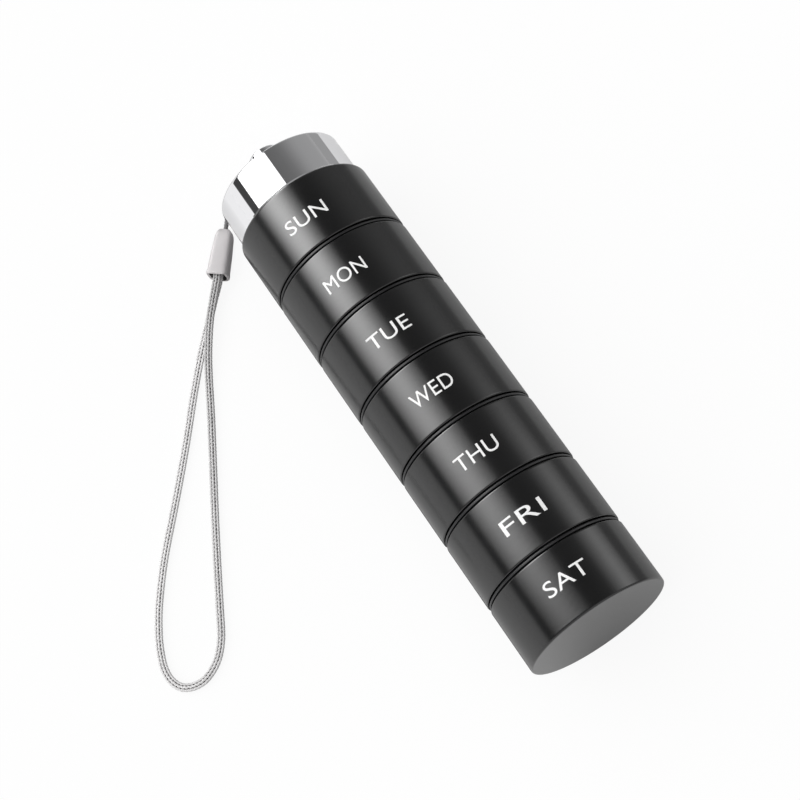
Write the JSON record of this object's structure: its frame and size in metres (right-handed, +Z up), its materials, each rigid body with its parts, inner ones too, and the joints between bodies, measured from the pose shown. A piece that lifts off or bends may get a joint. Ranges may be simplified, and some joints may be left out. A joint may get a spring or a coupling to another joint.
{
  "type": "pill organizer",
  "caption": "Slim metal tube of screw-together day compartments that holds pills, with a plated screw cap, a strap post and a braided wrist strap.",
  "frame": {"origin": "on the surface the tube lies on, under the middle of the tube's length, the post included and the strap left out", "axes": "+X along the tube from the cap to the closed base, +Z up, the strap lies on the -Y side"},
  "size_m": [0.1222, 0.0914, 0.0299],
  "materials": {
    "anodised_black": "satin black anodised",
    "cup_black": "moulded black plastic",
    "seal_rubber": "soft silicone rubber",
    "chrome_plate": "mirror bright plating",
    "screw_steel": "plain steel",
    "strap_cloth": "pale grey braided nylon",
    "ferrule_grey": "satin grey plastic"
  },
  "bodies": {
    "root": {"cap": "chrome_plate", "strap_post": "chrome_plate", "post_screw": "screw_steel", "strap_string": "strap_cloth", "strap_ferrule": "ferrule_grey", "strap_tape": "strap_cloth"},
    "sun_ring": {"sun_seal": "seal_rubber"},
    "sun_section": {"sun_sleeve": "anodised_black", "sun_cup": "cup_black"},
    "mon_ring": {"mon_seal": "seal_rubber"},
    "mon_section": {"mon_sleeve": "anodised_black", "mon_cup": "cup_black"},
    "tue_ring": {"tue_seal": "seal_rubber"},
    "tue_section": {"tue_sleeve": "anodised_black", "tue_cup": "cup_black"},
    "wed_ring": {"wed_seal": "seal_rubber"},
    "wed_section": {"wed_sleeve": "anodised_black", "wed_cup": "cup_black"},
    "thu_ring": {"thu_seal": "seal_rubber"},
    "thu_section": {"thu_sleeve": "anodised_black", "thu_cup": "cup_black"},
    "fri_ring": {"fri_seal": "seal_rubber"},
    "fri_section": {"fri_sleeve": "anodised_black", "fri_cup": "cup_black"},
    "sat_ring": {"sat_seal": "seal_rubber"},
    "sat_section": {"sat_sleeve": "anodised_black", "sat_cup": "cup_black"}
  },
  "joints": [
    {"name": "sun_travel", "type": "slide", "parent": "root", "child": "sun_ring", "axis": [1, 0, 0], "range_m": [0, 0.006]},
    {"name": "sun_turn", "type": "hinge", "parent": "sun_ring", "child": "sun_section", "pos_m": [-0.04457, 0, 0.01494], "axis": [1, 0, 0], "range_deg": [0, 1080]},
    {"name": "mon_travel", "type": "slide", "parent": "sun_section", "child": "mon_ring", "axis": [1, 0, 0], "range_m": [0, 0.006]},
    {"name": "mon_turn", "type": "hinge", "parent": "mon_ring", "child": "mon_section", "pos_m": [-0.0294, 0, 0.01494], "axis": [1, 0, 0], "range_deg": [0, 1080]},
    {"name": "tue_travel", "type": "slide", "parent": "mon_section", "child": "tue_ring", "axis": [1, 0, 0], "range_m": [0, 0.006]},
    {"name": "tue_turn", "type": "hinge", "parent": "tue_ring", "child": "tue_section", "pos_m": [-0.01423, 0, 0.01494], "axis": [1, 0, 0], "range_deg": [0, 1080]},
    {"name": "wed_travel", "type": "slide", "parent": "tue_section", "child": "wed_ring", "axis": [1, 0, 0], "range_m": [0, 0.006]},
    {"name": "wed_turn", "type": "hinge", "parent": "wed_ring", "child": "wed_section", "pos_m": [0.00094, 0, 0.01494], "axis": [1, 0, 0], "range_deg": [0, 1080]},
    {"name": "thu_travel", "type": "slide", "parent": "wed_section", "child": "thu_ring", "axis": [1, 0, 0], "range_m": [0, 0.006]},
    {"name": "thu_turn", "type": "hinge", "parent": "thu_ring", "child": "thu_section", "pos_m": [0.01611, 0, 0.01494], "axis": [1, 0, 0], "range_deg": [0, 1080]},
    {"name": "fri_travel", "type": "slide", "parent": "thu_section", "child": "fri_ring", "axis": [1, 0, 0], "range_m": [0, 0.006]},
    {"name": "fri_turn", "type": "hinge", "parent": "fri_ring", "child": "fri_section", "pos_m": [0.03128, 0, 0.01494], "axis": [1, 0, 0], "range_deg": [0, 1080]},
    {"name": "sat_travel", "type": "slide", "parent": "fri_section", "child": "sat_ring", "axis": [1, 0, 0], "range_m": [0, 0.006]},
    {"name": "sat_turn", "type": "hinge", "parent": "sat_ring", "child": "sat_section", "pos_m": [0.04645, 0, 0.01494], "axis": [1, 0, 0], "range_deg": [0, 1080]}
  ],
  "couplings": [
    {"joint": "sun_travel", "follows": "sun_turn", "m_per_rad": 0.0003183},
    {"joint": "mon_travel", "follows": "mon_turn", "m_per_rad": 0.0003183},
    {"joint": "tue_travel", "follows": "tue_turn", "m_per_rad": 0.0003183},
    {"joint": "wed_travel", "follows": "wed_turn", "m_per_rad": 0.0003183},
    {"joint": "thu_travel", "follows": "thu_turn", "m_per_rad": 0.0003183},
    {"joint": "fri_travel", "follows": "fri_turn", "m_per_rad": 0.0003183},
    {"joint": "sat_travel", "follows": "sat_turn", "m_per_rad": 0.0003183}
  ]
}
